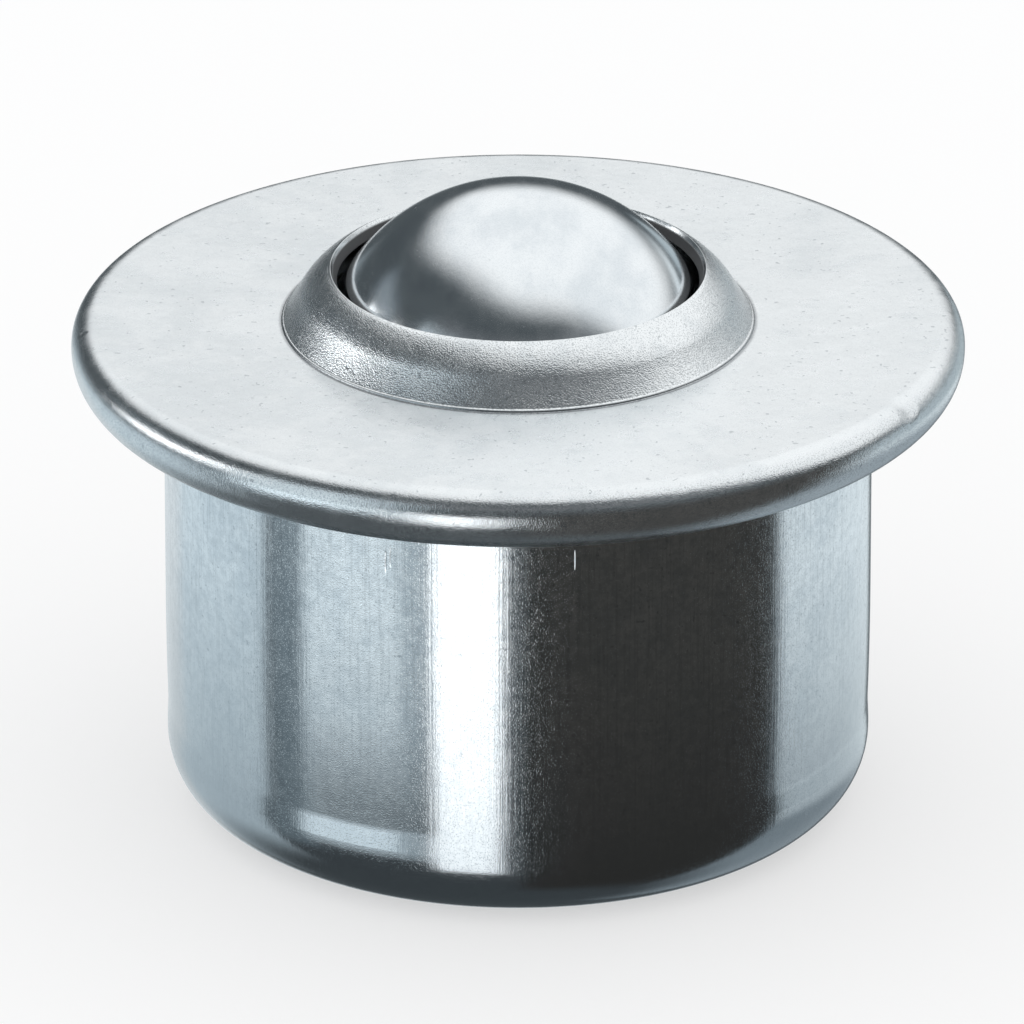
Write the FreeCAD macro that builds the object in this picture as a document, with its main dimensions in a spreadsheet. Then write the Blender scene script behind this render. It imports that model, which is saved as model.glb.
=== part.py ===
import FreeCAD, Part
import math
import os
import Sketcher

# A drop-in ball transfer unit: one large ball rolls on a bed of small balls in a hardened bowl.
# The bowl hangs by its lip in a drawn housing, and a pressed cap clamps both with its rolled rim.
#
# Frame: the axis of the unit is Z, and z = 0 is the seat, the underside of the rolled rim,
# which rests on the table that the housing is dropped into. Lengths are in millimetres.

driving_sizes = [
    ("load_ball_diameter", 22.225, "large ball, 7/8 inch"),
    ("support_ball_diameter", 4.7625, "small balls, 3/16 inch"),
    ("running_clearance", 0.03, "gap on each side of a small ball, to the large ball and to the bowl"),
    ("ball_spacing", 0.05, "least gap between two small balls of a row"),
    ("row_spacing", 0.12, "least gap between the small balls of two rows"),
    ("row_total", 5, "rows of small balls, the single one at the bottom counted"),
    ("ball_centre_drop", 0.22, "large ball's centre below the seat"),
    ("ball_above_lip", 4.36, "top of the large ball above the collar's lip"),
    ("cap_sheet", 0.8, "sheet of the cap"),
    ("race_sheet", 1.0, "sheet of the hardened bowl"),
    ("housing_sheet", 0.9, "sheet of the housing"),
    ("body_clearance", 1.215, "bowl to the housing's bore; it makes the body 38.1 mm, 1 1/2 inch"),
    ("body_depth", 23.9, "seat to the underside of the base"),
    ("body_corner_radius", 3.8, "outside radius round the base"),
    ("housing_bend_radius", 0.7, "under the housing's flange"),
    ("race_bend_radius", 0.7, "under the bowl's lip"),
    ("flange_overhang", 4.95, "rolled rim beyond the body; it makes the flange 48 mm"),
    ("rim_top_radius", 1.3, "outside of the rolled rim, above its straight part"),
    ("rim_straight", 0.1, "upright part of the rim between its two roundings"),
    ("hem_width", 3.5, "outside of the rim to the inner edge of the sheet rolled under"),
    ("hem_clearance", 0.1, "rolled rim to the edges of the two flanges inside it"),
    ("lip_clearance", 1.25, "large ball to the lip, level with the top of the lip"),
    ("lip_land", 1.05, "hole's edge to the corner of the collar's flank, before rounding"),
    ("lip_fall", 0.535, "top of the lip to that corner"),
    ("shoulder_radius", 4.0, "rounding over that corner"),
    ("flank_angle_deg", 58.8, "collar's flank from the level"),
    ("collar_foot_radius", 0.3, "inside corner where the flank meets the flange top"),
    ("lip_edge_radius", 0.15, "rounding of the hole's cut edge"),
]

doc = FreeCAD.newDocument("ball_transfer_unit")
sheet = doc.addObject("Spreadsheet::Sheet", "Sizes")
for row, (alias, size, note) in enumerate(driving_sizes, start=1):
    sheet.set(f"A{row}", alias)
    sheet.set(f"B{row}", str(size))
    sheet.set(f"C{row}", note)
    sheet.setAlias(f"B{row}", alias)
doc.recompute()

# Heights and radii that several pieces share, as formulas of the sheet.
hem_top = "Sizes.cap_sheet"
housing_flange_top = f"({hem_top} + Sizes.housing_sheet)"
race_lip_top = f"({housing_flange_top} + Sizes.race_sheet)"
flange_top = f"({race_lip_top} + Sizes.cap_sheet)"
ball_bed_radius = "(Sizes.load_ball_diameter / 2 + Sizes.running_clearance + Sizes.support_ball_diameter / 2)"
row_pitch = f"(2 * asin((Sizes.support_ball_diameter + Sizes.row_spacing) / (2 * {ball_bed_radius})))"
race_radius = f"({ball_bed_radius} + Sizes.support_ball_diameter / 2 + Sizes.running_clearance)"
body_radius = f"({race_radius} + Sizes.race_sheet + Sizes.body_clearance + Sizes.housing_sheet)"
rim_radius = f"({body_radius} + Sizes.flange_overhang)"
rim_bottom_rounding = f"({flange_top} - Sizes.rim_top_radius - Sizes.rim_straight)"
clamped_edge = f"({rim_radius} - {rim_bottom_rounding} - Sizes.hem_clearance)"
lip_top = "(Sizes.load_ball_diameter / 2 - Sizes.ball_centre_drop - Sizes.ball_above_lip)"
ball_at_lip = "sqrt(Sizes.ball_above_lip * (Sizes.load_ball_diameter - Sizes.ball_above_lip))"
opening_radius = f"({ball_at_lip} + Sizes.lip_clearance)"
shoulder_corner = f"({opening_radius} + Sizes.lip_land)"
shoulder_height = f"({lip_top} - Sizes.lip_fall)"
collar_foot = f"({shoulder_corner} + ({shoulder_height} - {flange_top}) / tan(Sizes.flank_angle_deg))"

# Plain values that are no size of the unit.
full_turn = 360
start_end, far_end = 1, 2
other_end = {start_end: far_end, far_end: start_end}
same_place = 0.01


def value(formula):
    return float(sheet.evalExpression(formula))


def flat(x, z):
    return FreeCAD.Vector(x, z, 0)


def new_section(name):
    # A half section of a turned piece: sketch x is the radius, sketch y is the height.
    section = doc.addObject("Sketcher::SketchObject", name)
    upright = FreeCAD.Rotation(FreeCAD.Vector(1, 0, 0), full_turn / 4)
    section.Placement = FreeCAD.Placement(FreeCAD.Vector(0, 0, 0), upright)
    return section


def bind(section, kind, *where_and_formula):
    # One dimension of a section, tied to its formula.
    *where, formula = where_and_formula
    index = section.addConstraint(Sketcher.Constraint(kind, *where, value(formula)))
    section.setExpression(f"Constraints[{index}]", formula)


def arc_between(centre, radius, first, last):
    # An arc from first to last, and which of its ends first is: arcs run anticlockwise.
    start = math.atan2(first.y - centre.y, first.x - centre.x)
    end = math.atan2(last.y - centre.y, last.x - centre.x)
    circle = Part.Circle(centre, FreeCAD.Vector(0, 0, 1), radius)
    if (end - start) % (2 * math.pi) < math.pi:
        return Part.ArcOfCircle(circle, start, start + (end - start) % (2 * math.pi)), start_end
    return Part.ArcOfCircle(circle, end, end + (start - end) % (2 * math.pi)), far_end


def skin_section(name, corners):
    # One skin of a pressed sheet: straight runs through the corners, each rounded to its radius.
    # A corner is (radius from the axis, height, rounding), in formulas. Rounding None is a plain end.
    section = new_section(name)
    points = [flat(value(across), value(up)) for across, up, rounding in corners]
    leave = [points[0]]
    reach = []
    arcs = []
    for number in range(1, len(points) - 1):
        corner = points[number]
        back = (points[number - 1] - corner).normalize()
        ahead = (points[number + 1] - corner).normalize()
        half = back.getAngle(ahead) / 2
        rounding = value(corners[number][2])
        touch = rounding / math.tan(half)
        centre = corner + (back + ahead).normalize() * (rounding / math.sin(half))
        arcs.append(arc_between(centre, rounding, corner + back * touch, corner + ahead * touch))
        reach.append(corner + back * touch)
        leave.append(corner + ahead * touch)
    reach.append(points[-1])
    lines = [section.addGeometry(Part.LineSegment(a, b), False) for a, b in zip(leave, reach)]
    for line, number in ((lines[0], 0), (lines[-1], -1)):
        end = start_end if number == 0 else far_end
        across, up, rounding = corners[number]
        if points[number].x == 0:
            section.addConstraint(Sketcher.Constraint("PointOnObject", line, end, -2))
        else:
            bind(section, "DistanceX", line, end, across)
        bind(section, "DistanceY", line, end, up)
    for number, (arc, first_end) in enumerate(arcs, start=1):
        across, up, rounding = corners[number]
        mark = section.addGeometry(Part.Point(points[number]), True)
        bind(section, "DistanceX", mark, 1, across)
        bind(section, "DistanceY", mark, 1, up)
        section.addConstraint(Sketcher.Constraint("PointOnObject", mark, 1, lines[number - 1]))
        section.addConstraint(Sketcher.Constraint("PointOnObject", mark, 1, lines[number]))
        bend = section.addGeometry(arc, False)
        bind(section, "Radius", bend, rounding)
        last_end = other_end[first_end]
        section.addConstraint(Sketcher.Constraint("Tangent", lines[number - 1], far_end, bend, first_end))
        section.addConstraint(Sketcher.Constraint("Tangent", bend, last_end, lines[number], start_end))
    return section


def turned_sheet(name, section, thickness, side):
    # The skin is given its sheet's thickness to one side of its run, then turned round the axis.
    strip = doc.addObject("Part::Offset2D", name + "_strip")
    strip.Source = section
    strip.Mode = "Skin"
    strip.Join = "Intersection"
    strip.Fill = True
    strip.setExpression("Value", f"{side} * {thickness}")
    turned = doc.addObject("Part::Revolution", name + "_turned")
    turned.Source = strip
    turned.Axis = (0, 0, 1)
    turned.Base = (0, 0, 0)
    turned.Angle = full_turn
    turned.Solid = True
    doc.recompute()
    return turned


def circles_at(shape, radius, height):
    # Numbers of the full circles at one radius and height of a turned shape.
    found = []
    for number, edge in enumerate(shape.Edges, start=1):
        curve = edge.Curve
        if isinstance(curve, Part.Circle):
            if abs(curve.Radius - radius) < same_place and abs(curve.Center.z - height) < same_place:
                found.append(number)
    return found


# Housing: a drawn cup. Its outer skin runs from the middle of the base to the edge of its flange.
housing_skin = skin_section("housing_skin", [
    ("0", "-Sizes.body_depth", None),
    (body_radius, "-Sizes.body_depth", "Sizes.body_corner_radius"),
    (body_radius, hem_top, "Sizes.housing_bend_radius"),
    (clamped_edge, hem_top, None),
])
housing = turned_sheet("housing", housing_skin, "Sizes.housing_sheet", 1)
housing.Label = "housing"

# Race cup: half a sphere and a short bore, whose lip turns out over the housing's flange.
race_skin = new_section("race_skin")
bowl_radius = value(race_radius)
bowl_centre = flat(0, -value("Sizes.ball_centre_drop"))
bend_radius = value("Sizes.race_bend_radius + Sizes.race_sheet")
bend_centre = flat(bowl_radius + bend_radius, value(race_lip_top) - bend_radius)
bowl_side = bowl_centre + flat(bowl_radius, 0)
bore_top = bend_centre - flat(bend_radius, 0)
lip_start = bend_centre + flat(0, bend_radius)
bowl_foot = bowl_centre - flat(0, bowl_radius)
lip_end = flat(value(clamped_edge), value(race_lip_top))
bowl_arc, bowl_end = arc_between(bowl_centre, bowl_radius, bowl_foot, bowl_side)
bend_arc, bend_end = arc_between(bend_centre, bend_radius, bore_top, lip_start)
bowl = race_skin.addGeometry(bowl_arc, False)
bore = race_skin.addGeometry(Part.LineSegment(bowl_side, bore_top), False)
bend = race_skin.addGeometry(bend_arc, False)
lip = race_skin.addGeometry(Part.LineSegment(lip_start, lip_end), False)
race_skin.addConstraint(Sketcher.Constraint("PointOnObject", bowl, 3, -2))
race_skin.addConstraint(Sketcher.Constraint("PointOnObject", bowl, bowl_end, -2))
race_skin.addConstraint(Sketcher.Constraint("Tangent", bowl, other_end[bowl_end], bore, start_end))
race_skin.addConstraint(Sketcher.Constraint("Vertical", bore))
race_skin.addConstraint(Sketcher.Constraint("Tangent", bore, far_end, bend, bend_end))
race_skin.addConstraint(Sketcher.Constraint("Tangent", bend, other_end[bend_end], lip, start_end))
race_skin.addConstraint(Sketcher.Constraint("Horizontal", lip))
bind(race_skin, "DistanceY", bowl, 3, "-Sizes.ball_centre_drop")
bind(race_skin, "Radius", bowl, race_radius)
bind(race_skin, "Radius", bend, "Sizes.race_bend_radius + Sizes.race_sheet")
bind(race_skin, "DistanceX", lip, 2, clamped_edge)
bind(race_skin, "DistanceY", lip, 2, race_lip_top)
race_cup = turned_sheet("race_cup", race_skin, "Sizes.race_sheet", -1)
race_cup.Label = "race_cup"

# Cap: from the edge rolled under the housing's flange, round the rim, over the level flange top
# and up the collar to its lip.
cap_skin = skin_section("cap_skin", [
    (f"{rim_radius} - Sizes.hem_width", "0", None),
    (rim_radius, "0", rim_bottom_rounding),
    (rim_radius, flange_top, "Sizes.rim_top_radius"),
    (collar_foot, flange_top, "Sizes.collar_foot_radius"),
    (shoulder_corner, shoulder_height, "Sizes.shoulder_radius"),
    (opening_radius, lip_top, None),
])
cap_turned = turned_sheet("cap", cap_skin, "Sizes.cap_sheet", 1)
cap = doc.addObject("Part::Fillet", "cap_edged")
cap.Base = cap_turned
lip_circles = circles_at(cap_turned.Shape, value(opening_radius), value(lip_top))
edge_radius = value("Sizes.lip_edge_radius")
cap.Edges = [(number, edge_radius, edge_radius) for number in lip_circles]
cap.Label = "cap"

# Load ball, proud of the collar: its centre sits just below the seat.
load_ball = doc.addObject("Part::Sphere", "load_ball")
load_ball.setExpression("Radius", "Sizes.load_ball_diameter / 2")
load_ball.setExpression("Placement.Base.z", "-Sizes.ball_centre_drop")
load_ball.Label = "load_ball"

# Support balls: one at the bottom of the bowl, then rings of as many as fit side by side.
support_balls = []
ball_width = value("Sizes.support_ball_diameter + Sizes.ball_spacing")
for ring in range(int(value("Sizes.row_total"))):
    ring_angle = f"({row_pitch} * {ring})"
    from_axis = f"{ball_bed_radius} * sin({ring_angle})"
    ring_radius = value(from_axis)
    in_ring = 1
    bed_height = f"-Sizes.ball_centre_drop - {ball_bed_radius} * cos({ring_angle})"
    if ring > 0:
        in_ring = int(math.pi / math.asin(ball_width / 2 / ring_radius))
    for place in range(in_ring):
        turn = f"{full_turn / in_ring * place}"
        ball = doc.addObject("Part::Sphere", f"support_ball_{len(support_balls) + 1:02d}")
        ball.Label = ball.Name
        ball.setExpression("Radius", "Sizes.support_ball_diameter / 2")
        ball.setExpression("Placement.Base.x", f"{from_axis} * cos({turn})")
        ball.setExpression("Placement.Base.y", f"{from_axis} * sin({turn})")
        ball.setExpression("Placement.Base.z", bed_height)
        support_balls.append(ball)

doc.recompute()

pieces = [housing, race_cup, cap, load_ball] + support_balls
for item in doc.Objects:
    if "Invalid" in item.State or "Error" in item.State:
        raise RuntimeError(f"{item.Name} did not build: {item.State}")
for piece in pieces:
    if piece.Shape.isNull() or not piece.Shape.isValid() or len(piece.Shape.Solids) != 1:
        raise RuntimeError(f"{piece.Label} is not one valid solid")

os.makedirs("parts", exist_ok=True)
for piece in pieces:
    piece.Shape.exportStep(f"parts/{piece.Label}.step")
    print(piece.Label, round(piece.Shape.Volume, 2), "mm3")
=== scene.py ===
import math

import bmesh
import bpy
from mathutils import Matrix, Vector


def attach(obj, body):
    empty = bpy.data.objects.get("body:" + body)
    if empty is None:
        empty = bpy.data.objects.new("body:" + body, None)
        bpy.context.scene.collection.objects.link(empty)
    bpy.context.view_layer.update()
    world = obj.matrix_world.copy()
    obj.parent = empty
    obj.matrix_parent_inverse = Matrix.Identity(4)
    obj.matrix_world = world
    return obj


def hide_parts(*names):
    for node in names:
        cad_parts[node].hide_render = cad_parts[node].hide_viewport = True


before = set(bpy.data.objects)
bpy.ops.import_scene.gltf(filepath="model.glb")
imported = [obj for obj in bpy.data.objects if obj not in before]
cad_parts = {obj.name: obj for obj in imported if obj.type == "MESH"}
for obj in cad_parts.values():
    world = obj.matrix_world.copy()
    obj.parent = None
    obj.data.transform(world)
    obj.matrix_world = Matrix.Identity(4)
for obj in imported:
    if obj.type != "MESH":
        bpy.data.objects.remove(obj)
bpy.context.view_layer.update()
mm = 0.001
print("frame loaded:", len(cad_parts), "nodes")

# Heights are from the seat under the rolled rim, radii from the unit's axis, all in millimetres.
camera = {
    "place": (-0.33, -827.4, 357.6),
    "aim": (-0.33, 0.0, -7.83),
    "lens": 589.3,
    "sensor": 36.0,
    "nearAndFar": (10.0, 20000.0),
}

eye = bpy.data.cameras.new("studioCamera")
eye.lens = camera["lens"]
eye.sensor_width = camera["sensor"]
eye.clip_start, eye.clip_end = [reach * mm for reach in camera["nearAndFar"]]
eyeStand = bpy.data.objects.new("studioCamera", eye)
bpy.context.scene.collection.objects.link(eyeStand)
eyeStand.location = Vector(camera["place"]) * mm
lookAlong = Vector(camera["aim"]) - Vector(camera["place"])
eyeStand.rotation_euler = lookAlong.to_track_quat("-Z", "Y").to_euler()
bpy.context.scene.camera = eyeStand
bpy.context.scene.view_settings.view_transform = "Standard"
print("camera set")


# Small helpers for node trees.
def addNode(tree, kind, **settings):
    node = tree.nodes.new(kind)
    for setting, value in settings.items():
        setattr(node, setting, value)
    return node


def feed(tree, socket, source):
    # A socket takes another node's output, a colour of three parts, or a plain number.
    if isinstance(source, bpy.types.NodeSocket):
        tree.links.new(source, socket)
    elif isinstance(source, tuple):
        socket.default_value = (*source, 1.0)
    else:
        socket.default_value = source


def sums(tree, operation, first, second=0.0, third=None):
    node = addNode(tree, "ShaderNodeMath", operation=operation)
    feed(tree, node.inputs[0], first)
    feed(tree, node.inputs[1], second)
    if third is not None:
        feed(tree, node.inputs[2], third)
    return node.outputs[0]


def mixed(tree, first, share, second, rest):
    # Two sources added up, each by its own share.
    return sums(tree, "ADD", sums(tree, "MULTIPLY", first, share), sums(tree, "MULTIPLY", second, rest))


def ramp(tree, source, low, high, start=0.0, end=1.0, shape="SMOOTHSTEP"):
    # Start below low, end above high, and a soft run between them.
    node = addNode(tree, "ShaderNodeMapRange", interpolation_type=shape)
    feed(tree, node.inputs["Value"], source)
    feed(tree, node.inputs["From Min"], low)
    feed(tree, node.inputs["From Max"], high)
    feed(tree, node.inputs["To Min"], start)
    feed(tree, node.inputs["To Max"], end)
    return node.outputs["Result"]


def blendColours(tree, share, first, second):
    node = addNode(tree, "ShaderNodeMix", data_type="RGBA", blend_type="MIX")
    feed(tree, node.inputs[0], share)
    feed(tree, node.inputs[6], first)
    feed(tree, node.inputs[7], second)
    return node.outputs[2]


def overlay(tree, colour, share, strength, shade):
    # Lays the shade over a colour where share is high, and no more strongly than strength.
    return blendColours(tree, sums(tree, "MULTIPLY", share, strength), colour, shade)


# Studio: a white room for the camera and the floor. Metal sees soft cards hung round it.
# Azimuth is from the camera's side, plus to its right. Degrees, and colours as light levels.
studio = {
    "dark": (0.086, 0.100, 0.108),
    "white": (1.0, 1.0, 1.0),
    "cards": [
        # azimuth centre, half width, soft edge; elevation low, high, soft edge; colour
        # A later card covers an earlier one.
        (46.6, 44.6, 1.5, -70.0, 6.0, 8.0, (0.052, 0.051, 0.048)),  # black, front right
        (15.0, 80.0, 12.0, 24.0, 46.0, 6.0, (0.18, 0.19, 0.20)),  # wide and dim, high in front
        (66.0, 30.0, 8.0, 24.0, 44.0, 6.0, (0.21, 0.225, 0.235)),  # dim, high at the right
        (-124.0, 33.0, 3.0, -43.0, -6.0, 13.0, (0.69, 0.80, 0.86)),  # back left, low
        (-165.0, 20.0, 6.0, -38.0, -16.0, 6.0, (0.76, 0.82, 0.85)),  # back, low
        (-79.8, 8.0, 2.5, -34.0, 0.0, 5.0, (0.20, 0.25, 0.28)),  # dim, left and low
        (-82.0, 12.0, 3.0, 3.0, 15.0, 4.0, (0.85, 0.90, 0.93)),  # left, just above level
        (-55.0, 19.5, 3.0, 8.0, 36.0, 8.0, (0.80, 0.90, 0.95)),  # window at the left, upper part
        (-55.0, 19.5, 3.0, -26.6, 16.0, 3.0, (0.82, 0.92, 0.97)),  # window, lower part
        (-55.0, 19.5, 3.0, -22.5, -12.0, 1.5, (1.35, 1.52, 1.60)),  # window, its bright strip
        (-34.0, 5.0, 3.0, -26.6, 34.0, 3.0, (0.50, 0.59, 0.64)),  # narrow, beside the window
        (-16.6, 11.4, 1.0, -38.0, -9.0, 4.0, (2.02, 2.06, 2.08)),  # white, low in front
        (130.0, 34.5, 2.0, -62.0, -6.0, 12.0, (0.36, 0.42, 0.46)),  # back right, far down
        (130.0, 34.8, 2.0, -27.0, -3.0, 5.0, (0.88, 0.97, 1.01)),  # back right, the bright part
        (130.0, 34.8, 2.0, -22.0, 0.0, 1.5, (0.50, 0.58, 0.62)),  # back right, up to level
        (-112.0, 14.0, 6.0, 20.0, 30.0, 5.0, (0.27, 0.31, 0.34)),  # dim, high at the left
        (-102.0, 14.5, 2.5, 6.0, 18.5, 2.0, (3.00, 3.03, 3.05)),  # small lamp at the left
        (134.0, 20.0, 8.0, 4.5, 9.0, 1.5, (0.90, 0.97, 1.00)),  # thin strip, back right
        (-87.0, 7.0, 2.5, 14.0, 25.0, 3.0, (2.50, 2.53, 2.55)),  # small lamp at the left, higher
    ],
    # The big soft box overhead, to the back and the right: its edges on a ceiling at height 1.
    "overheadFront": (-0.74, -0.20),
    "overheadLeft": (-1.10, -0.48),
    "overheadCorner": (-0.58, -0.14),
    "cornerTurn": (0.828, 0.560),  # the direction across its cut corner
    "overheadFade": (0.09, 0.39),  # how far up a ray goes, from no light to full light
    "lowestRise": 0.02,  # keeps the ceiling's far end finite
    "overhead": (1.10, 1.115, 1.12),
}


def hangStudio(world):
    tree = world.node_tree
    tree.nodes.clear()
    spot = addNode(tree, "ShaderNodeTexCoord")
    axes = addNode(tree, "ShaderNodeSeparateXYZ")
    tree.links.new(spot.outputs["Generated"], axes.inputs[0])
    right, away, up = axes.outputs
    azimuth = sums(tree, "ARCTAN2", right, sums(tree, "MULTIPLY", away, -1.0))
    elevation = sums(tree, "ARCSINE", up)
    colour = studio["dark"]
    for *angles, shade in studio["cards"]:
        centre, half, soft, low, high, fade = [math.radians(angle) for angle in angles]
        offset = sums(tree, "WRAP", sums(tree, "SUBTRACT", azimuth, centre), math.pi, -math.pi)
        offset = sums(tree, "ABSOLUTE", offset)
        across = ramp(tree, offset, half - soft, half + soft, 1.0, 0.0)
        above = ramp(tree, elevation, low - fade, low + fade)
        below = ramp(tree, elevation, high - fade, high + fade, 1.0, 0.0)
        share = sums(tree, "MULTIPLY", across, sums(tree, "MULTIPLY", above, below))
        colour = blendColours(tree, share, colour, shade)
    # The overhead box ends in straight edges on the ceiling, and fades towards the horizon.
    rise = sums(tree, "MAXIMUM", up, studio["lowestRise"])
    alongX = sums(tree, "DIVIDE", right, rise)
    alongY = sums(tree, "DIVIDE", away, rise)
    turnX, turnY = studio["cornerTurn"]
    slant = mixed(tree, alongX, turnX, alongY, turnY)
    front = ramp(tree, alongY, *studio["overheadFront"])
    left = ramp(tree, alongX, *studio["overheadLeft"])
    corner = ramp(tree, slant, *studio["overheadCorner"])
    horizon = ramp(tree, up, *studio["overheadFade"])
    sides = sums(tree, "MULTIPLY", front, left)
    share = sums(tree, "MULTIPLY", sides, sums(tree, "MULTIPLY", corner, horizon))
    colour = blendColours(tree, share, colour, studio["overhead"])
    rays = addNode(tree, "ShaderNodeLightPath")
    shown = blendColours(tree, rays.outputs["Is Glossy Ray"], studio["white"], colour)
    light = addNode(tree, "ShaderNodeBackground")
    tree.links.new(shown, light.inputs["Color"])
    out = addNode(tree, "ShaderNodeOutputWorld")
    tree.links.new(light.outputs[0], out.inputs["Surface"])


room = bpy.data.worlds.new("studioRoom")
room.use_nodes = True
bpy.context.scene.world = room
hangStudio(room)
room.cycles.sampling_method = "NONE"  # the cards are for reflections, so they aren't used as lamps

# The floor lies a hair below the foot, so that no two flat faces share a place.
floor = {
    "size": 3000.0,
    "height": -23.92,
    "colour": (0.97, 0.975, 0.98),
    "roughness": 0.9,
    "glow": 0.55,
}


def layFloor():
    bpy.ops.object.select_all(action="DESELECT")
    bpy.ops.mesh.primitive_plane_add(size=floor["size"] * mm, location=(0, 0, floor["height"] * mm))
    sheet = bpy.context.object
    sheet.name = "paperFloor"
    bpy.ops.object.transform_apply(location=True, rotation=True, scale=True)
    paper = bpy.data.materials.new("matPaper")
    paper.use_nodes = True
    tree = paper.node_tree
    shader = tree.nodes["Principled BSDF"]
    feed(tree, shader.inputs["Base Color"], floor["colour"])
    feed(tree, shader.inputs["Roughness"], floor["roughness"])
    feed(tree, shader.inputs["Specular IOR Level"], 0.0)
    glow = addNode(tree, "ShaderNodeEmission")  # the paper's own light, for the camera alone
    rays = addNode(tree, "ShaderNodeLightPath")
    both = addNode(tree, "ShaderNodeMixShader")
    feed(tree, both.inputs[0], sums(tree, "MULTIPLY", rays.outputs["Is Camera Ray"], floor["glow"]))
    tree.links.new(shader.outputs[0], both.inputs[1])
    tree.links.new(glow.outputs[0], both.inputs[2])
    tree.links.new(both.outputs[0], tree.nodes["Material Output"].inputs["Surface"])
    sheet.data.materials.append(paper)
    sheet.visible_glossy = False  # metal looks past the paper to the cards


layFloor()
print("studio hung")


# Modelling helpers.
def pickRing(shape, radius, height, reach=0.004):
    # Selects the edges of one ring by its place.
    mesh = bmesh.from_edit_mesh(shape.data)
    for part in (mesh.verts, mesh.edges, mesh.faces):
        for item in part:
            item.select = False

    def onRing(vert):
        aside = math.hypot(vert.co.x, vert.co.y) - radius * mm
        return abs(aside) < reach * mm and abs(vert.co.z - height * mm) < reach * mm

    for edge in mesh.edges:
        if all(onRing(vert) for vert in edge.verts):
            edge.select_set(True)
    mesh.select_flush_mode()
    bmesh.update_edit_mesh(shape.data)


def pressSheet(name, corners, sides, filled=False):
    # A sheet pressed round the axis: a ring is drawn out from corner to corner, then the corners
    # are rounded. A corner is (radius, height, rounding, steps), and with no rounding it stays as it is.
    bpy.ops.object.select_all(action="DESELECT")
    radius, height = corners[0][:2]
    fill = "NGON" if filled else "NOTHING"
    bpy.ops.mesh.primitive_circle_add(
        vertices=sides, radius=radius * mm, fill_type=fill, location=(0, 0, height * mm)
    )
    shape = bpy.context.object
    shape.name = name
    bpy.ops.object.transform_apply(location=True, rotation=True, scale=True)
    bpy.ops.object.mode_set(mode="EDIT")
    bpy.ops.mesh.select_mode(type="EDGE")
    pickRing(shape, radius, height)
    for nextRadius, nextHeight, *rest in corners[1:]:
        bpy.ops.mesh.extrude_edges_move(
            TRANSFORM_OT_translate={"value": (0, 0, (nextHeight - height) * mm)}
        )
        grow = nextRadius / radius
        bpy.ops.transform.resize(value=(grow, grow, 1), center_override=(0, 0, 0))
        radius, height = nextRadius, nextHeight
    for before, corner, after in zip(corners, corners[1:], corners[2:]):
        radius, height, rounding, steps = corner
        if rounding == 0:
            continue
        into = Vector((radius - before[0], height - before[1]))
        outOf = Vector((after[0] - radius, after[1] - height))
        setBack = rounding * math.tan(into.angle(outOf) / 2)
        pickRing(shape, radius, height)
        bpy.ops.mesh.bevel(
            offset=setBack * mm, offset_type="OFFSET", segments=steps, profile=0.5, affect="EDGES"
        )
    bpy.ops.mesh.select_all(action="SELECT")
    bpy.ops.mesh.remove_doubles(threshold=0.001 * mm)
    bpy.ops.mesh.normals_make_consistent(inside=False)
    bpy.ops.object.mode_set(mode="OBJECT")
    return shape


def faceOutward(shape, radius, height, outward):
    # The sheet's outer side is the one that faces outward at this place.
    spot = Vector((radius, 0, height)) * mm
    near = min(shape.data.polygons, key=lambda face: (face.center - spot).length)
    if near.normal.dot(Vector(outward)) < 0:
        bpy.ops.object.mode_set(mode="EDIT")
        bpy.ops.mesh.select_all(action="SELECT")
        bpy.ops.mesh.flip_normals()
        bpy.ops.object.mode_set(mode="OBJECT")


def applyModifier(shape, kind, **settings):
    bpy.context.view_layer.objects.active = shape
    made = shape.modifiers.new(kind.title(), kind)
    for setting, value in settings.items():
        setattr(made, setting, value)
    bpy.ops.object.modifier_apply(modifier=made.name)


def smoothOff(shape, degrees):
    bpy.ops.object.select_all(action="DESELECT")
    shape.select_set(True)
    bpy.context.view_layer.objects.active = shape
    bpy.ops.object.shade_smooth_by_angle(angle=math.radians(degrees))
    # Wide flat faces keep their own direction beside a small rounding.
    applyModifier(shape, "WEIGHTED_NORMAL", mode="FACE_AREA", weight=100, keep_sharp=True)


# Material helpers.
def newFinish(name, metallic=1.0):
    finish = bpy.data.materials.new(name)
    finish.use_nodes = True
    tree = finish.node_tree
    shader = tree.nodes["Principled BSDF"]
    shader.inputs["Metallic"].default_value = metallic
    return finish, tree, shader


def objectSpace(tree, stretch=(1.0, 1.0, 1.0)):
    # Object coordinates in millimetres, stretched by the given factors.
    spot = addNode(tree, "ShaderNodeTexCoord")
    mapping = addNode(tree, "ShaderNodeMapping")
    tree.links.new(spot.outputs["Object"], mapping.inputs["Vector"])
    mapping.inputs["Scale"].default_value = [factor / mm for factor in stretch]
    return mapping.outputs["Vector"]


def objectAxes(tree):
    # The same coordinates one by one, as X, Y and Z.
    axes = addNode(tree, "ShaderNodeSeparateXYZ")
    tree.links.new(objectSpace(tree), axes.inputs[0])
    return axes.outputs


def fromAxis(tree, axes):
    # Distance from the unit's axis.
    squares = [sums(tree, "MULTIPLY", axes[side], axes[side]) for side in ("X", "Y")]
    return sums(tree, "SQRT", sums(tree, "ADD", *squares))


def grains(tree, space, kinds):
    # One noise for each kind: how many millimetres wide its patches are, its detail and roughness.
    noise = {}
    for kind, (size, detail, roughness) in kinds.items():
        node = addNode(tree, "ShaderNodeTexNoise")
        tree.links.new(space, node.inputs["Vector"])
        node.inputs["Scale"].default_value = 1.0 / size
        node.inputs["Detail"].default_value = detail
        node.inputs["Roughness"].default_value = roughness
        noise[kind] = node.outputs["Fac"]
    return noise


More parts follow.
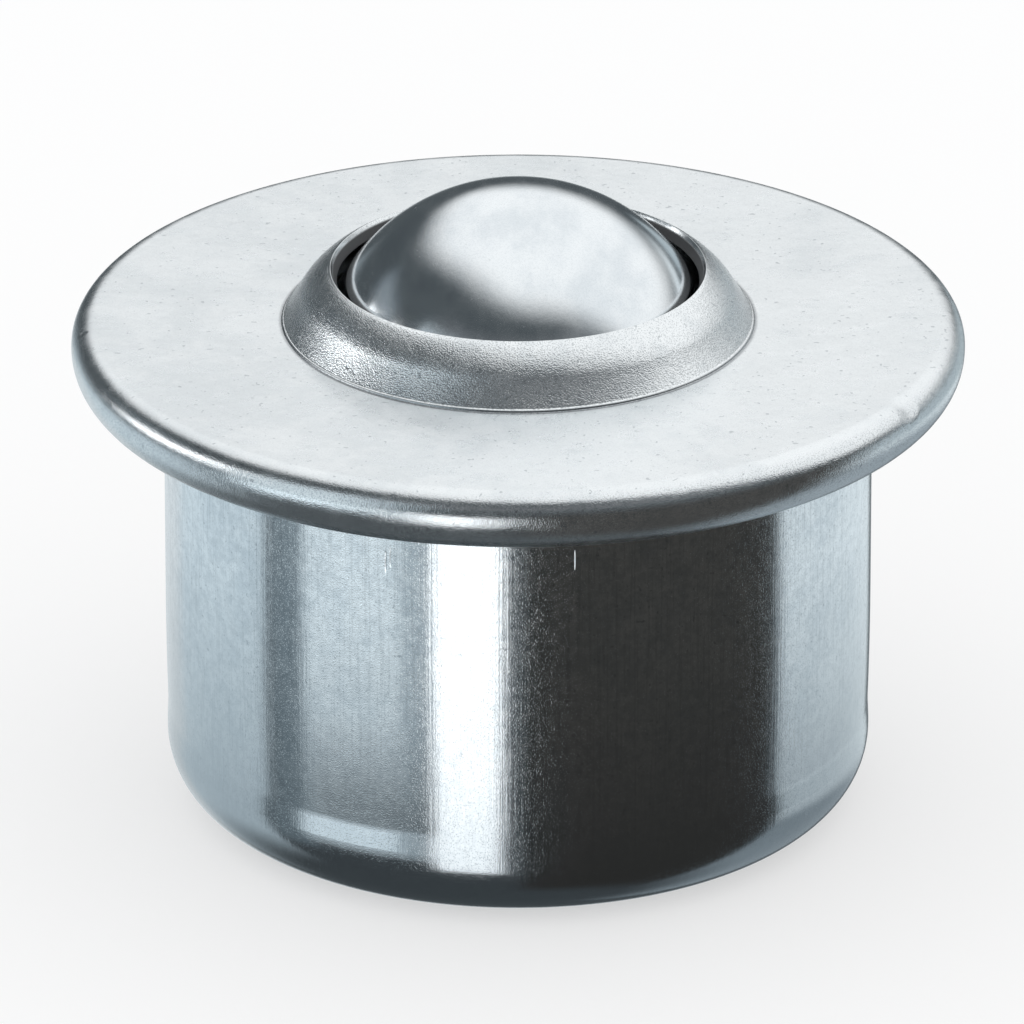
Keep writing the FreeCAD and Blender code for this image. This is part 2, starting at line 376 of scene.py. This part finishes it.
def relief(tree, shader, height, distance, before=None):
    # Bump of this many millimetres, on top of an earlier one.
    node = addNode(tree, "ShaderNodeBump")
    node.inputs["Strength"].default_value = 1.0
    node.inputs["Distance"].default_value = distance * mm
    feed(tree, node.inputs["Height"], height)
    if before is not None:
        tree.links.new(before, node.inputs["Normal"])
    tree.links.new(node.outputs["Normal"], shader.inputs["Normal"])
    return node.outputs["Normal"]


def reliefs(tree, shader, noise, bumps):
    # Bumps laid on one another, in the order of the piece's table.
    bump = None
    for kind, distance in bumps.items():
        bump = relief(tree, shader, noise[kind], distance, bump)
    return bump


def marks(tree, knocks):
    # Depth of small knocks: each is a place, its reach in three directions and its depth.
    total = 0.0
    for place, reach, depth in knocks:
        spot = addNode(tree, "ShaderNodeTexCoord")
        offset = addNode(tree, "ShaderNodeVectorMath", operation="SUBTRACT")
        tree.links.new(spot.outputs["Object"], offset.inputs[0])
        offset.inputs[1].default_value = [part * mm for part in place]
        scaled = addNode(tree, "ShaderNodeVectorMath", operation="DIVIDE")
        tree.links.new(offset.outputs[0], scaled.inputs[0])
        scaled.inputs[1].default_value = [part * mm for part in reach]
        length = addNode(tree, "ShaderNodeVectorMath", operation="LENGTH")
        tree.links.new(scaled.outputs[0], length.inputs[0])
        hollow = ramp(tree, length.outputs["Value"], 0.0, 1.0, -depth, 0.0)
        total = sums(tree, "ADD", hollow, total)
    return total


def dress(shape, finish):
    shape.data.materials.clear()
    shape.data.materials.append(finish)


# Cap: rolled rim, flange top and raised collar, pressed from one sheet and plated.
cap = {
    "sheet": 0.8,
    "sides": 256,
    "corners": [
        (20.5, 0.0, 0.0, 0),
        (24.0, 0.0, 2.1, 14),
        (24.0, 3.5, 1.3, 12),
        (12.70, 3.5, 0.05, 2),
        (12.67, 3.62, 0.04, 2),
        (12.558, 3.635, 0.1, 3),
        (11.126, 5.9975, 4.0, 16),
        (10.076, 6.5325, 0.0, 0),
    ],
    "topPoint": (17.0, 3.1),  # radius and height of a place on the flange's top
    "edge": 0.3,  # width of the worn edge of the sheet
    "edgeSteps": 3,
    "edgeAngle": 60.0,
    "smoothAngle": 50.0,
    "dents": [
        # place, reach in each direction and depth of a knock
        ((-23.36, -1.55, 3.3), (0.4, 0.35, 0.35), 0.06),
        ((20.50, -11.30, 3.1), (1.2, 1.2, 0.8), 0.14),
        ((-9.05, -8.18, 4.2), (0.18, 0.18, 0.18), 0.04),
        ((-8.72, -8.65, 4.08), (0.15, 0.15, 0.15), 0.03),
    ],
    "pale": (0.82, 0.845, 0.858),
    "shade": (0.72, 0.752, 0.770),
    "speckAndRimShade": (0.40, 0.43, 0.45),
    # painted shade: near black, laid in the gap under the lip
    "paintedGapShade": (0.055, 0.056, 0.058),
    # painted shade for the crease at the collar's foot
    "footShade": (0.20, 0.215, 0.23),
    "grains": {
        "clouds": (5.5, 4.0, 0.6),
        "mottle": (1.3, 3.0, 0.55),
        "blotch": (0.6, 2.0, 0.5),
        "pits": (0.30, 1.0, 0.4),
        "sand": (0.075, 1.0, 0.5),
    },
    # Radii between which a part of the cap begins.
    "collarFrom": (13.0, 12.4),
    "rimFrom": (23.2, 23.8),
    "gapFrom": (10.0, 9.93),
    "footLineInner": (12.60, 12.68),
    "footLineOuter": (12.92, 12.74),
    "lipRubbed": (10.05, 10.35),
    "paintedSideLight": (-24.0, 24.0, -0.05, 0.08),  # from side to side, and how much paler at each: painted light, paler towards the right
    "cloudsAndMottle": (0.55, 0.45),  # their shares in the patches
    # Levels of a noise between which a shade begins, and how strong it is.
    "paleFrom": (0.38, 0.60),
    "specksFrom": (0.30, 0.24),
    "speckStrength": 0.6,
    "dustFrom": (0.52, 0.34),
    "dustStrength": 0.16,
    "dustOnBends": 0.36,
    "rimShadeStrength": 0.24,
    "footLineStrength": 0.6,
    "roughness": (0.35, 0.65, 0.26, 0.34),  # levels of the mottle, and the roughness at each
    "smootherBends": 0.13,
    "gapRoughness": 0.45,
    "matBends": -0.035,  # what is taken off the metallic value there
    "matGap": -0.80,
    # How strong the sand's grain is: the rim against the collar, then bends and flat.
    "rimGrain": 0.55,
    "bendGrain": 0.90,
    "flatGrain": 0.10,
    "bumps": {"rubbed": 0.022, "blotch": 0.010, "clouds": 0.03},
}


def plateFinish():
    finish, tree, shader = newFinish("matPlate")
    noise = grains(tree, objectSpace(tree), cap["grains"])
    axes = objectAxes(tree)
    radius = fromAxis(tree, axes)
    paintedSideLight = ramp(tree, axes["X"], *cap["paintedSideLight"], "LINEAR")  # painted light: one side is a little paler
    onCollar = ramp(tree, radius, *cap["collarFrom"])
    onRim = ramp(tree, radius, *cap["rimFrom"])
    formed = sums(tree, "MAXIMUM", onCollar, onRim)
    inGap = ramp(tree, radius, *cap["gapFrom"])
    cloudShare, mottleShare = cap["cloudsAndMottle"]
    patches = mixed(tree, noise["clouds"], cloudShare, noise["mottle"], mottleShare)
    tone = ramp(tree, sums(tree, "ADD", patches, paintedSideLight), *cap["paleFrom"])
    colour = blendColours(tree, tone, cap["shade"], cap["pale"])
    specks = ramp(tree, noise["pits"], *cap["specksFrom"])
    colour = overlay(tree, colour, specks, cap["speckStrength"], cap["speckAndRimShade"])
    dustHold = sums(tree, "MULTIPLY_ADD", formed, cap["dustOnBends"], cap["dustStrength"])
    dusty = sums(tree, "MULTIPLY", ramp(tree, noise["sand"], *cap["dustFrom"]), dustHold)
    colour = blendColours(tree, dusty, colour, cap["speckAndRimShade"])
    # Painted shade: the whole rolled rim is darkened.
    colour = overlay(tree, colour, onRim, cap["rimShadeStrength"], cap["speckAndRimShade"])
    # Painted shade: a thin dark ring in the crease where the collar meets the flange.
    footInner = ramp(tree, radius, *cap["footLineInner"])
    footOuter = ramp(tree, radius, *cap["footLineOuter"])
    footLine = sums(tree, "MULTIPLY", footInner, footOuter)
    colour = overlay(tree, colour, footLine, cap["footLineStrength"], cap["footShade"])
    # Painted shade: the gap under the lip is coloured near black.
    colour = blendColours(tree, inGap, colour, cap["paintedGapShade"])
    tree.links.new(colour, shader.inputs["Base Color"])
    rough = ramp(tree, noise["mottle"], *cap["roughness"], "LINEAR")
    rough = sums(tree, "SUBTRACT", rough, sums(tree, "MULTIPLY", formed, cap["smootherBends"]))
    rough = sums(tree, "MAXIMUM", rough, sums(tree, "MULTIPLY", inGap, cap["gapRoughness"]))
    tree.links.new(rough, shader.inputs["Roughness"])
    # The bends are a little matt. In the gap under the lip the metal is made dull and near black, a
    # painted shade beside the ball.
    bare = sums(tree, "MULTIPLY_ADD", formed, cap["matBends"], 1.0)
    bare = sums(tree, "MULTIPLY_ADD", inGap, cap["matGap"], bare)
    tree.links.new(bare, shader.inputs["Metallic"])
    # The grain is coarse on the bends, but the lip's edge is rubbed smooth.
    coarse = sums(tree, "MAXIMUM", onCollar, sums(tree, "MULTIPLY", onRim, cap["rimGrain"]))
    coarse = sums(tree, "MULTIPLY", coarse, ramp(tree, radius, *cap["lipRubbed"]))
    coarse = sums(tree, "MULTIPLY_ADD", coarse, cap["bendGrain"], cap["flatGrain"])
    noise["rubbed"] = sums(tree, "MULTIPLY", noise["sand"], coarse)
    bump = reliefs(tree, shader, noise, cap["bumps"])
    relief(tree, shader, marks(tree, cap["dents"]), 1.0, bump)
    return finish


def pressCap():
    shape = pressSheet("capShell", cap["corners"], cap["sides"])
    faceOutward(shape, *cap["topPoint"], (0, 0, 1))
    applyModifier(shape, "SOLIDIFY", thickness=cap["sheet"] * mm, offset=-1.0, use_even_offset=True)
    applyModifier(shape, "BEVEL", width=cap["edge"] * mm, segments=cap["edgeSteps"],
                  limit_method="ANGLE", angle_limit=math.radians(cap["edgeAngle"]))
    smoothOff(shape, cap["smoothAngle"])
    dress(shape, plateFinish())
    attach(shape, "housing")
    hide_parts("cap")
    return shape


capShell = pressCap()
print("cap pressed:", len(capShell.data.polygons), "faces")

# Housing: the drawn cup that drops through the table.
housing = {
    "sheet": 0.9,
    "sides": 256,
    "foot": [
        (3.0, -23.9, 0.0, 0),
        (19.0, -23.9, 3.8, 16),
        (19.0, -19.75, 1.5, 4),
        (18.95, -18.6, 5.0, 6),
    ],
    "wall": [
        (19.05, 0.8, 0.7, 5),
        (21.8, 0.8, 0.0, 0),
    ],
    "waistTop": -12.0,
    "waistStep": 1.1,
    "waistSteps": 6,
    "waistDepth": 0.10,
    "wallPoint": (19.05, -10.0),  # radius and height of a place on the wall
    "smoothAngle": 50.0,
    "pale": (0.79, 0.82, 0.84),
    "shade": (0.67, 0.71, 0.74),
    # the stain colour, also used for the painted shade at the foot
    "stainAndShade": (0.37, 0.40, 0.42),
    "pepper": (0.30, 0.33, 0.35),
    "grains": {
        "clouds": (4.0, 5.0, 0.65),
        "blotch": (0.9, 3.0, 0.6),
        "dapple": (0.45, 3.0, 0.6),
        "pits": (0.22, 1.0, 0.4),
        "sand": (0.075, 1.0, 0.5),
        "dots": (0.07, 0.0, 0.5),
        "swell": (4.0, 1.5, 0.5),
    },
    "drawn": (1.0, 1.0, 0.02),  # stretches a noise into lines that run down the wall
    "drawnGrains": {
        "lines": (0.12, 1.0, 0.5),
        "scores": (0.5, 2.0, 0.5),
    },
    "cloudsAndBlotch": (0.55, 0.45),  # their shares in the patches
    "paleFrom": (0.36, 0.60),  # levels of the patches between which the steel turns pale
    "shades": {
        # levels of the noise between which its shade begins, and how strong it is
        "dapple": ((0.60, 0.38), 0.18),
        "lines": ((0.46, 0.34), 0.22),
        "sand": ((0.46, 0.32), 0.22),
        "pits": ((0.32, 0.25), 0.5),
    },
    "paintedFootShade": (-21.0, -6.0, 0.9, 0.0),  # heights, and the strength of the painted shade at each: darker towards the foot
    "roughness": (0.35, 0.7, 0.115, 0.145),  # levels of the blotch, and the roughness at each
    "sparksFrom": (0.62, 0.76),  # levels of the dots between which a spark rises
    "bumps": {"lines": 0.0022, "sand": 0.0022, "scores": 0.004, "sparks": 0.0020, "swell": 0.006},
    "scratches": [
        ((2.96, -18.82, -2.3), (0.07, 0.3, 0.8), 0.03),
        ((-7.00, -17.72, -2.95), (0.06, 0.3, 0.9), 0.02),
        ((-6.75, -17.81, -2.6), (0.05, 0.3, 0.8), 0.02),
    ],
}


def drawnFinish():
    finish, tree, shader = newFinish("matDrawn")
    noise = grains(tree, objectSpace(tree), housing["grains"])
    noise.update(grains(tree, objectSpace(tree, housing["drawn"]), housing["drawnGrains"]))
    cloudShare, blotchShare = housing["cloudsAndBlotch"]
    patches = mixed(tree, noise["clouds"], cloudShare, noise["blotch"], blotchShare)
    tone = ramp(tree, patches, *housing["paleFrom"])
    colour = blendColours(tree, tone, housing["shade"], housing["pale"])
    shares = {}
    for kind, (levels, strength) in housing["shades"].items():
        shares[kind] = sums(tree, "MULTIPLY", ramp(tree, noise[kind], *levels), strength)
    for kind in ("dapple", "lines"):
        colour = blendColours(tree, shares[kind], colour, housing["stainAndShade"])
    peppered = sums(tree, "MAXIMUM", shares["sand"], shares["pits"])
    colour = blendColours(tree, peppered, colour, housing["pepper"])
    # Painted shade: the wall darkens towards the foot.
    foot = ramp(tree, objectAxes(tree)["Z"], *housing["paintedFootShade"], "LINEAR")
    colour = blendColours(tree, foot, colour, housing["stainAndShade"])
    tree.links.new(colour, shader.inputs["Base Color"])
    rough = ramp(tree, noise["blotch"], *housing["roughness"], "LINEAR")
    tree.links.new(rough, shader.inputs["Roughness"])
    noise["sparks"] = ramp(tree, noise["dots"], *housing["sparksFrom"])
    bump = reliefs(tree, shader, noise, housing["bumps"])
    relief(tree, shader, marks(tree, housing["scratches"]), 1.0, bump)
    return finish


def waistCorners():
    # The wall draws in a little towards the foot, along a parabola. Corners go from the bottom up.
    wallRadius = housing["wall"][0][0]
    corners = []
    for step in reversed(range(housing["waistSteps"])):
        drawnIn = housing["waistDepth"] * (step / housing["waistSteps"]) ** 2
        down = housing["waistStep"] * step
        corners.append((round(wallRadius - drawnIn, 4), round(housing["waistTop"] - down, 4), 0.0, 0))
    return corners


def drawHousing():
    corners = housing["foot"] + waistCorners() + housing["wall"]
    shape = pressSheet("housingShell", corners, housing["sides"], filled=True)
    faceOutward(shape, *housing["wallPoint"], (1, 0, 0))
    applyModifier(shape, "SOLIDIFY", thickness=housing["sheet"] * mm, offset=-1.0, use_even_offset=True)
    smoothOff(shape, housing["smoothAngle"])
    dress(shape, drawnFinish())
    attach(shape, "housing")
    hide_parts("housing")
    return shape


housingShell = drawHousing()
print("housing drawn:", len(housingShell.data.polygons), "faces")

# Load ball: hardened and polished, with a light haze from use.
ball = {
    "diameter": 22.225,
    "centre": -0.22,
    "cuts": 63,
    "smoothAngle": 60.0,
    "bright": (0.80, 0.83, 0.85),
    "haze": (0.68, 0.72, 0.75),
    "dust": (0.40, 0.44, 0.47),
    "grains": {
        "clouds": (4.5, 4.0, 0.6),
        "specks": (0.2, 1.0, 0.4),
        "fine": (0.10, 2.0, 0.5),
        "ripple": (0.3, 2.0, 0.5),
    },
    "wiped": (1.0, 0.35, 1.0),  # stretches the smears
    "wipedGrains": {"smear": (1.4, 3.0, 0.6)},
    "cloudsAndSmear": (0.6, 0.4),  # their shares in the patches
    # Two levels of a noise, and where there are four numbers, the values at those levels.
    "brightFrom": (0.38, 0.62),
    "dustFrom": (0.58, 0.36, 0.0, 0.13),
    "roughness": (0.3, 0.7, 0.12, 0.18),
    "specksFrom": (0.27, 0.22, 0.0, 0.12),
    "bumps": {"ripple": 0.002, "fine": 0.0008},
}


def ballFinish():
    finish, tree, shader = newFinish("matBall")
    noise = grains(tree, objectSpace(tree), ball["grains"])
    noise.update(grains(tree, objectSpace(tree, ball["wiped"]), ball["wipedGrains"]))
    cloudShare, smearShare = ball["cloudsAndSmear"]
    patches = mixed(tree, noise["clouds"], cloudShare, noise["smear"], smearShare)
    colour = blendColours(tree, ramp(tree, patches, *ball["brightFrom"]), ball["haze"], ball["bright"])
    colour = blendColours(tree, ramp(tree, noise["fine"], *ball["dustFrom"]), colour, ball["dust"])
    tree.links.new(colour, shader.inputs["Base Color"])
    rough = ramp(tree, noise["smear"], *ball["roughness"], "LINEAR")
    rough = sums(tree, "ADD", rough, ramp(tree, noise["specks"], *ball["specksFrom"]))
    tree.links.new(rough, shader.inputs["Roughness"])
    reliefs(tree, shader, noise, ball["bumps"])
    return finish


def grindBall():
    # A cube in many small squares, cast into a sphere.
    bpy.ops.object.select_all(action="DESELECT")
    bpy.ops.mesh.primitive_cube_add(size=ball["diameter"] * mm, location=(0, 0, ball["centre"] * mm))
    shape = bpy.context.object
    shape.name = "loadBall"
    bpy.ops.object.mode_set(mode="EDIT")
    bpy.ops.mesh.select_all(action="SELECT")
    bpy.ops.mesh.subdivide(number_cuts=ball["cuts"])
    bpy.ops.object.mode_set(mode="OBJECT")
    applyModifier(shape, "CAST", cast_type="SPHERE", factor=1.0, size=ball["diameter"] / 2 * mm,
                  use_radius_as_size=False)
    bpy.ops.object.transform_apply(location=True, rotation=True, scale=True)
    smoothOff(shape, ball["smoothAngle"])
    dress(shape, ballFinish())
    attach(shape, "load_ball")
    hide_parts("load_ball")
    return shape


loadBall = grindBall()
print("ball ground:", len(loadBall.data.polygons), "faces")

# Bowl and small balls: the CAD's own solids, with their finish.
bed = {
    # A finish's roughness is two levels of the film, and the values at those levels.
    "race": {
        "bright": (0.46, 0.475, 0.49),
        "oil": (0.30, 0.30, 0.30),
        "roughness": (0.35, 0.65, 0.42, 0.57),
        "metallic": 0.4,
    },
    "small": {
        "bright": (0.62, 0.64, 0.66),
        "oil": (0.40, 0.41, 0.42),
        "roughness": (0.35, 0.65, 0.12, 0.27),
        "metallic": 1.0,
    },
    "grains": {
        "film": (2.2, 4.0, 0.6),
        "fine": (0.3, 2.0, 0.5),
    },
    "brightFrom": (0.4, 0.6),  # levels of the film between which the metal shows bright
    "bumps": {"fine": 0.002},
}


def oiledFinish(name, look):
    finish, tree, shader = newFinish(name, look["metallic"])
    noise = grains(tree, objectSpace(tree), bed["grains"])
    tone = ramp(tree, noise["film"], *bed["brightFrom"])
    tree.links.new(blendColours(tree, tone, look["oil"], look["bright"]), shader.inputs["Base Color"])
    rough = ramp(tree, noise["film"], *look["roughness"], "LINEAR")
    tree.links.new(rough, shader.inputs["Roughness"])
    reliefs(tree, shader, noise, bed["bumps"])
    return finish


def finishBed():
    raceFinish = oiledFinish("matRace", bed["race"])
    smallFinish = oiledFinish("matSmallBall", bed["small"])
    for name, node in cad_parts.items():
        if name == "race_cup":
            dress(node, raceFinish)
        elif name.startswith("support_ball_"):
            dress(node, smallFinish)


finishBed()
# The CAD nodes that the sheets and the ball replace take the same finish.
for name, finish in (("cap", "matPlate"), ("housing", "matDrawn"), ("load_ball", "matBall")):
    dress(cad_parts[name], bpy.data.materials[finish])
print("bed finished")
